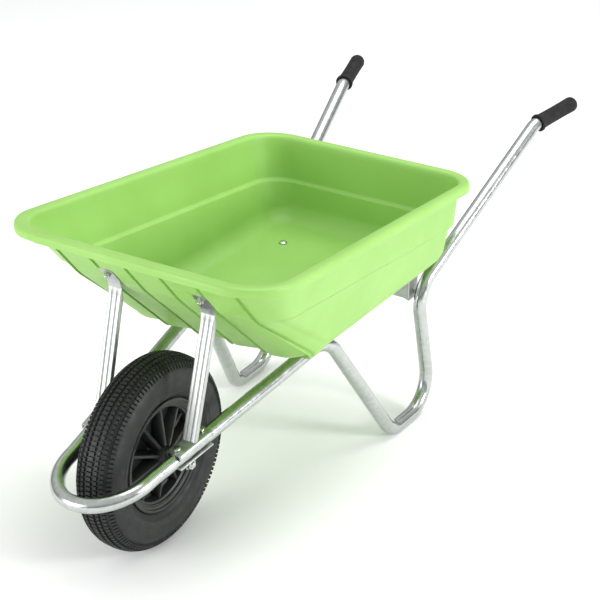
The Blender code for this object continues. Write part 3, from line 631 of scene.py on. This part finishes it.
# ---- grips ----------------------------------------------------------------------------
def grips():
    """A soft sleeve with a stop collar, shallow finger rings and a rounded end."""
    for name, side in SIDES.items():
        start = mirrored(GRIP_START, side)
        axis = mirrored(GRIP_AXIS, side)
        place = Matrix.Translation(start) @ axis.to_track_quat("Z", "Y").to_matrix().to_4x4()
        profile = [(TUBE_R + 0.0003, 0.002), (TUBE_R + 0.0008, 0.0)]
        profile += [
            (GRIP_COLLAR_R - 0.002 + 0.002 * math.sin(a), 0.002 - 0.002 * math.cos(a))
            for a in (math.radians(15 * i) for i in range(7))
        ]
        profile += [(GRIP_COLLAR_R, 0.0045), (GRIP_COLLAR_R - 0.0004, 0.0062), (GRIP_R + 0.0008, 0.0085)]
        body = 96
        for i in range(body + 1):
            along = 0.012 + (GRIP_LENGTH - 0.024) * i / body
            swell = 0.0006 * math.sin(math.pi * i / body)
            ring_wave = 0.00035 * math.cos(math.tau * i / 6)
            profile.append((GRIP_R - 0.0004 - swell + ring_wave, along))
        for i in range(1, 10):
            a = math.radians(10 * i)
            radius = GRIP_R - 0.0007 - 0.0095 * (1 - math.cos(a))
            profile.append((radius, GRIP_LENGTH - 0.0105 * (1 - math.sin(a))))
        profile += [(0.0026, GRIP_LENGTH), (0.0022, GRIP_LENGTH - 0.004), (0.0, GRIP_LENGTH - 0.004)]
        bm = bmesh.new()
        spun(bm, profile, place, 64)
        piece(f"hand_grip_{name}", bm, "root", GRIP, [f"grip_{name}"], 60)


# ---- stays ----------------------------------------------------------------------------
SADDLE_ENDS = ((-0.047, 0.90), (-0.0455, 0.965), (-0.043, 1.0), (0.043, 1.0), (0.0455, 0.965), (0.047, 0.90))


def thickened(line, thickness):
    """The other face of a sheet whose section is line, from its last point back to its first."""
    last = len(line) - 1
    other = []
    for i, point in enumerate(line):
        run = (line[min(i + 1, last)] - line[max(i - 1, 0)]).normalized()
        other.append(point + Vector((-run.y, run.x)) * thickness)
    return other[::-1]


def channel_outline(fullness):
    """Cross-section of the stay, (across, back): two flutes and turned edges, or flat at 0."""
    face = [(-STAY_HALF, STAY_DEPTH), (-STAY_HALF, 0.0050)]
    face += [
        (-STAY_HALF + 0.0035 * (1 - math.cos(a)), 0.0035 * (1 - math.sin(a)))
        for a in (math.radians(22.5 * i) for i in range(5))
    ]
    flute_middle, flute_half, flute_depth = 0.0056, 0.0022, 0.0034
    for i in range(9):
        share = i / 8
        across = -flute_middle + flute_half * (2 * share - 1)
        face.append((across, flute_depth * (0.5 - 0.5 * math.cos(math.tau * share)) ** 0.7))
    face += [(-x, back) for x, back in reversed(face)]
    outside = [Vector((x, back * fullness)) for x, back in face]
    return outside + thickened(outside, SHEET)


def wall_line():
    """Foot of the tray's upper front wall, and the directions up it and out of it."""
    foot = Vector((0, LEDGE_TOP["front"], rim_z(LEDGE_TOP["front"], LEDGE_TOP_DROP)))
    head = Vector((0, WALL_TOP["front"], rim_z(WALL_TOP["front"], 0.006)))
    up = (head - foot).normalized()
    return foot, up, Vector((0, -up.z, up.y))


def stay_path():
    """(place, full channel or flat) from the foot up to the end of the folded tab."""
    foot, up, out = wall_line()
    rise = (STAY_HEAD - STAY_BASE).normalized()
    path = [(STAY_BASE.lerp(STAY_HEAD, i / 12), 1.0) for i in range(13)]
    path += [(STAY_HEAD + rise * 0.0022 * i, 1 - i / 8) for i in range(1, 9)]
    elbow_start = path[-1][0]
    tab_start = foot + up * 0.010 + out * 0.0019
    tab_end = foot + up * 0.041 + out * 0.0019
    corner = Vector((STAY_X, tab_start.y - up.y * 0.012, tab_start.z - up.z * 0.012))
    tab_start.x = tab_end.x = STAY_X
    for i in range(1, 13):
        share = i / 12
        path.append((elbow_start.lerp(corner, share).lerp(corner.lerp(tab_start, share), share), 0.0))
    path += [(tab_start.lerp(tab_end, i / 6), 0.0) for i in range(1, 7)]
    return path


def stay_strip(bm, side):
    """The fluted strip with its folded tab, whose end is drawn in."""
    path = stay_path()
    rings = []
    last = len(path) - 1
    for i, (place, fullness) in enumerate(path):
        run = (path[min(i + 1, last)][0] - path[max(i - 1, 0)][0]).normalized()
        back = Vector((0, run.z, -run.y)).normalized()
        narrow = [0.72, 0.93, 1.0][min(2, last - i)]
        ring = [
            mirrored(place + Vector((p.x * narrow, 0, 0)) + back * (p.y - SHEET / 2 * (1 - fullness)), side)
            for p in channel_outline(fullness)
        ]
        rings.append(ring)
    loft(bm, rings)


def arm_place(side):
    """Place on the straight front arm at the stay's foot: X outward, Y back along it, Z up."""
    along = (KNEE - HOOP_SIDE).normalized()
    point = HOOP_SIDE + along * ((STAY_FOOT_Y - HOOP_SIDE.y) / along.y)
    up = (Vector((0, 0, 1)) - along * along.z).normalized()
    out = along.cross(up)
    turn = Matrix([mirrored(v, side) for v in (out, along, up)]).transposed().to_4x4()
    return Matrix.Translation(mirrored(point, side)) @ turn


def saddle(bm, side):
    """Pressed cap over the tube, with rounded shoulders and ends."""
    place = arm_place(side)
    top, half, low, shoulder = TUBE_R + 0.0003 + SHEET, 0.019, 0.004, 0.006
    flank = top - 0.004  # below this the sides hang straight and only draw in
    face = [Vector((-half, low))]
    for i in range(7):
        angle = math.radians(15 * i)
        face.append(Vector((shoulder * (1 - math.cos(angle)) - half, top - shoulder * (1 - math.sin(angle)))))
    face += [Vector((-point.x, point.y)) for point in reversed(face)]
    outline = face + thickened(face, -SHEET)
    rings = []
    for along, squeeze in SADDLE_ENDS:
        ring = []
        for point in outline:
            height = top - (top - point.y) * squeeze if point.y < flank else point.y
            ring.append(place @ Vector((point.x * squeeze, along, height)))
        rings.append(ring)
    loft(bm, rings)


def stays():
    """Each stay is its strip and the saddle that clamps it to the tube."""
    for name, side in SIDES.items():
        bm = bmesh.new()
        stay_strip(bm, side)
        saddle(bm, side)
        piece(f"pressed_stay_{name}", bm, "root", GALVANISED_SHEET, [f"stay_{name}"], 50)


# ---- fastenings and small fittings ----------------------------------------------------
def dome_heads():
    """Carriage bolts: a smooth low dome over a plain shank."""
    every_axis = dict(use_axis_x=True, use_axis_y=True, use_axis_z=True)
    for bolt in (f"{where}_bolt_{name}" for where in ("floor", "tray") for name in SIDES):
        bm = bmesh.new()
        bm.from_mesh(frame["nodes"][bolt].data)
        bmesh.ops.remove_doubles(bm, verts=bm.verts, dist=0.00001)
        bmesh.ops.subdivide_edges(bm, edges=bm.edges, cuts=1, use_grid_fill=True, smooth=0.6)
        bmesh.ops.smooth_vert(bm, verts=bm.verts, factor=0.35, **every_axis)
        piece(f"{bolt}_finished", bm, "root", ZINC, [bolt], 70)


def fittings():
    """The fastenings, brackets and wheel fittings, taken from their solids and finished."""
    dome_heads()
    ends = ("front", "rear")
    hexagons = [f"stay_{kind}_{side}_{end}" for kind in ("bolt", "nut") for side in SIDES for end in ends]
    pairs = ("brace_bolt", "floor_nut", "tray_nut", "axle_nut")
    hexagons += [f"{kind}_{side}" for kind in pairs for side in SIDES]
    rounded_copies(hexagons, 0.0007, "root", ZINC)
    rounded_copies(["axle"], 0.0008, "root", ZINC)
    rounded_copies(["cross_brace"], 0.0010, "root", GALVANISED_SHEET)
    brackets = [f"axle_bracket_{side}" for side in SIDES]
    rounded_copies(brackets, 0.0009, "root", GALVANISED_SHEET)
    rounded_copies([f"axle_spacer_{side}" for side in SIDES], 0.0006, "root", NYLON)
    wheel_parts = [f"wheel_bearing_{side}" for side in SIDES] + ["valve_cap"]
    rounded_copies(wheel_parts, 0.0006, "wheel", NYLON)
    rounded_copies(["valve_stem"], 0.0005, "wheel", RUBBER)
    frame["nodes"]["inner_tube"].data.materials.clear()
    frame["nodes"]["inner_tube"].data.materials.append(RUBBER)


# ---- wheel ----------------------------------------------------------------------------
TYRE_HALF, TYRE_MIDDLE_R, UPPER_REACH, LOWER_REACH = 0.044, 0.148, 0.052, 0.040
TREAD_DEPTH, TREAD_STEPS = 0.0042, 126
# (height, distance below the tyre's widest, width) of each raised line on the sidewall
SIDEWALL_RIDGES = ((0.0009, 0.0060, 0.0007), (0.0011, 0.0170, 0.0009), (0.0008, 0.0205, 0.0006))
# where each row of lugs starts and ends, from the tyre's middle plane
TREAD_ROWS = ((0.0000, 0.0072), (0.0094, 0.0186), (0.0208, 0.0294), (0.0314, 0.0392))


def tyre_radius(across, lowered=0.0):
    """Radius of the tyre's outer skin at a distance from its middle plane, crown side."""
    share = min(abs(across) / TYRE_HALF, 1.0)
    return TYRE_MIDDLE_R + (UPPER_REACH - lowered) * (1 - share**2.6) ** (1 / 2.6)


def sidewall(drop):
    """Half width of the tyre at a radius that is drop below its widest."""
    return TYRE_HALF * (1 - (drop / LOWER_REACH) ** 2.2) ** (1 / 2.2)


def tyre_half_profile():
    """(radius, across) from the crown to the bead on one side."""
    rows = []
    for start, end in TREAD_ROWS:
        rows += [start, (start + end) / 2, end] if start == 0 or end > 0.03 else [start, end]
    profile = [(tyre_radius(x, TREAD_DEPTH), x) for x in rows]
    for x in (0.0408, 0.0420, 0.0430, 0.0437):
        profile.append((tyre_radius(x, TREAD_DEPTH * (0.044 - x) / 0.004), x))
    for i in range(1, 26):
        drop = 0.0285 * i / 25
        ridge = sum(h * math.exp(-(((drop - at) / wide) ** 2)) for h, at, wide in SIDEWALL_RIDGES)
        profile.append((TYRE_MIDDLE_R - drop, sidewall(drop) + ridge))
    bead = 0.103
    return profile + [(0.1176, 0.0305), (0.1168, 0.0292), (bead, 0.0292), (bead, 0.0230)]


def tread_row(x):
    """Which row of lugs a distance from the tyre's middle plane falls in, or None between rows."""
    for k, (start, end) in enumerate(TREAD_ROWS):
        if start - 0.00001 <= abs(x) <= end + 0.00001:
            return k
    return None


def on_tread(vert):
    """Whether a point lies on the skin that the lugs stand on, and inside one of their rows."""
    radius = math.hypot(vert.co.y - AXLE_CENTRE.y, vert.co.z - AXLE_CENTRE.z)
    base = tyre_radius(vert.co.x, TREAD_DEPTH)
    return abs(radius - base) < 0.0004 and tread_row(vert.co.x) is not None


def lug_faces(bm):
    """Faces that lie wholly on the tread and wholly in one row."""
    found = []
    for face in bm.faces:
        if all(on_tread(vert) for vert in face.verts):
            if len({tread_row(vert.co.x) for vert in face.verts}) == 1:
                found.append(face)
    return found


def tyre():
    """A spun carcass; every other row of the tread is turned half a pitch, then lugs are raised."""
    outer = tyre_half_profile()
    inner = [(0.110, 0.0235), (0.122, 0.0290), (0.145, 0.0365)]
    inner += [(0.165, 0.0345), (0.180, 0.0260), (0.188, 0.0)]
    half = outer + inner
    outline = half + [(radius, -across) for radius, across in reversed(half[:-1])]
    bm = bmesh.new()
    spun(bm, outline, AXLE_TURN, TREAD_STEPS)
    bmesh.ops.remove_doubles(bm, verts=bm.verts, dist=0.000002)
    bmesh.ops.recalc_face_normals(bm, faces=bm.faces)

    half_pitch = Matrix.Rotation(math.pi / TREAD_STEPS, 4, "X")
    staggered = [vert for vert in bm.verts if on_tread(vert) and tread_row(vert.co.x) in (1, 3)]
    bmesh.ops.rotate(bm, verts=staggered, cent=AXLE_CENTRE, matrix=half_pitch.to_3x3())

    on_lugs = set(lug_faces(bm))
    shared = [edge for edge in bm.edges if on_lugs.issuperset(edge.link_faces)]
    round_the_tyre = [e for e in shared if abs(e.verts[0].co.x - e.verts[1].co.x) < 0.00001]
    bmesh.ops.dissolve_edges(bm, edges=round_the_tyre, use_verts=False)
    lugs = lug_faces(bm)
    bmesh.ops.inset_individual(bm, faces=lugs, thickness=0.0011, depth=0.0, use_even_offset=True)
    bmesh.ops.inset_individual(bm, faces=lugs, thickness=0.0005, depth=TREAD_DEPTH, use_even_offset=True)
    piece("block_tread_tyre", bm, "wheel", RUBBER, ["tyre"], 35)


SPOKES, FIRST_SPOKE = 10, 85  # count, and degrees


WHEEL_HALF_SECTION = (
    (0.0980, 0.0000), (0.0990, 0.0180), (0.1015, 0.0292), (0.1150, 0.0305), (0.1160, 0.0312),
    (0.1166, 0.0330), (0.1160, 0.0348), (0.1135, 0.0353), (0.1110, 0.0345), (0.1100, 0.0318),
    (0.1050, 0.0310), (0.1040, 0.0300), (0.1032, 0.0268), (0.0990, 0.0258), (0.0965, 0.0240),
    (0.0945, 0.0150), (0.0938, 0.0060), (0.0900, 0.0040), (0.0560, 0.0032), (0.0250, 0.0040),
    (0.0225, 0.0070), (0.0215, 0.0120), (0.0208, 0.0435), (0.0196, 0.0450), (0.0158, 0.0450),
    (0.0153, 0.0270), (0.0085, 0.0266), (0.0085, 0.0000),
)  # (radius, across), from the rim's well outward, down over the dish and boss to the bore


def spoke(bm, angle, face_side):
    """A tapering rib that stands on the dish between the boss and the rim."""
    turn = Matrix.Translation(AXLE_CENTRE) @ Matrix.Rotation(angle, 4, "X")
    start, end, steps = 0.019, 0.0975, 8
    foot, crest = 0.0052, 0.0034
    rings = []
    for k in range(steps + 1):
        share = k / steps
        reach = start + (end - start) * share
        top = 0.0335 - 0.0105 * share + 0.0015 * math.cos(math.pi * share)
        flank = [(foot - 0.0004 * share, 0.002), (crest, top - 0.0012), (crest - 0.0010, top)]
        section = flank + [(-wide, across) for wide, across in reversed(flank)]
        rings.append([turn @ Vector((face_side * across, reach, wide)) for wide, across in section])
    loft(bm, rings)


def wheel_centre():
    """Moulded nylon wheel centre: stepped flanges, a dished barrel, spokes and a long boss."""
    bm = bmesh.new()
    far_half = [(radius, -across) for radius, across in reversed(WHEEL_HALF_SECTION[:-1])]
    spun(bm, [*WHEEL_HALF_SECTION, *far_half], AXLE_TURN, 120)
    for index in range(SPOKES):
        angle = math.radians(FIRST_SPOKE + 360 / SPOKES * index)
        spoke(bm, angle, 1)
        spoke(bm, angle, -1)
    piece("spoked_wheel_centre", bm, "wheel", NYLON, ["wheel_rim"], 40)


# ---- studio ---------------------------------------------------------------------------
def area_light(name, place, aim, size, power):
    """A soft rectangular light that faces aim."""
    data = bpy.data.lights.new(name, "AREA")
    data.shape = "RECTANGLE"
    data.size, data.size_y = size
    data.energy = power
    light = bpy.data.objects.new(name, data)
    light.location = place
    light.rotation_euler = (Vector(aim) - Vector(place)).to_track_quat("-Z", "Y").to_euler()
    bpy.context.scene.collection.objects.link(light)


def studio():
    """White paper under a pale sky: a key from the right, a card at the front and a broad top."""
    world = bpy.data.worlds.new("studio")
    bpy.context.scene.world = world
    world.use_nodes = True
    tree = world.node_tree
    sky = add(tree, "TexCoord").outputs["Generated"]
    height = add(tree, "SeparateXYZ", {"Vector": sky}).outputs["Z"]
    share = spread(tree, height, 0.05, 0.70, 0, 1)
    shade = blend(tree, share, srgb("#A2A6A8"), srgb("#FFFFFF"))
    background = tree.nodes["Background"]
    tree.links.new(shade, background.inputs["Color"])
    background.inputs["Strength"].default_value = 0.85

    area_light("key", (3.6, 0.5, 1.35), (0, -0.1, 0.35), (0.9, 0.9), 88)
    area_light("card", (-1.5, -3.6, 1.20), (0, -0.1, 0.45), (2.6, 1.6), 88)
    area_light("top", (0.3, 0.8, 3.4), (0, 0, 0.3), (2.2, 2.2), 62)

    finish, tree, shader, where = new_finish("studio_paper")
    tone = blend(tree, noise(tree, where, 500, 3), srgb("#FAFAFA"), srgb("#FDFDFD"))
    feed(tree, shader, Base_Color=tone, Normal=bump(tree, noise(tree, where, 3, 2), 0.05, 0.2))
    shader.inputs["Roughness"].default_value = 0.9
    bm = bmesh.new()
    bmesh.ops.create_grid(bm, x_segments=1, y_segments=1, size=14)
    mesh = bpy.data.meshes.new("studio_floor")
    bm.to_mesh(mesh)
    bm.free()
    floor = bpy.data.objects.new("studio_floor", mesh)
    bpy.context.scene.collection.objects.link(floor)
    mesh.materials.append(finish)


def plain_colours():
    """Plain sRGB output, so that the paper stays white and the green stays clear."""
    bpy.context.scene.view_settings.view_transform = "Standard"


def camera():
    """Camera placed by its measured azimuth, elevation and roll."""
    azimuth, elevation, roll = (math.radians(d) for d in (32.619, 26.604, -0.486))
    level_run = math.cos(elevation)
    back = Vector((math.sin(azimuth) * level_run, -math.cos(azimuth) * level_run, math.sin(elevation)))
    level = Vector((math.cos(azimuth), math.sin(azimuth), 0))
    upright = back.cross(level)
    right = level * math.cos(roll) + upright * math.sin(roll)
    up = upright * math.cos(roll) - level * math.sin(roll)
    data = bpy.data.cameras.new("camera")
    data.lens = 111.588
    data.sensor_width = 36
    data.clip_end = 60
    eye = bpy.data.objects.new("camera", data)
    place = Matrix([right, up, back]).transposed().to_4x4()
    place.translation = (1.9197, -2.9647, 2.0810)
    eye.matrix_world = place
    bpy.context.scene.collection.objects.link(eye)
    bpy.context.scene.camera = eye


tray()
frame_tube()
grips()
stays()
fittings()
tyre()
wheel_centre()
studio()
plain_colours()
camera()
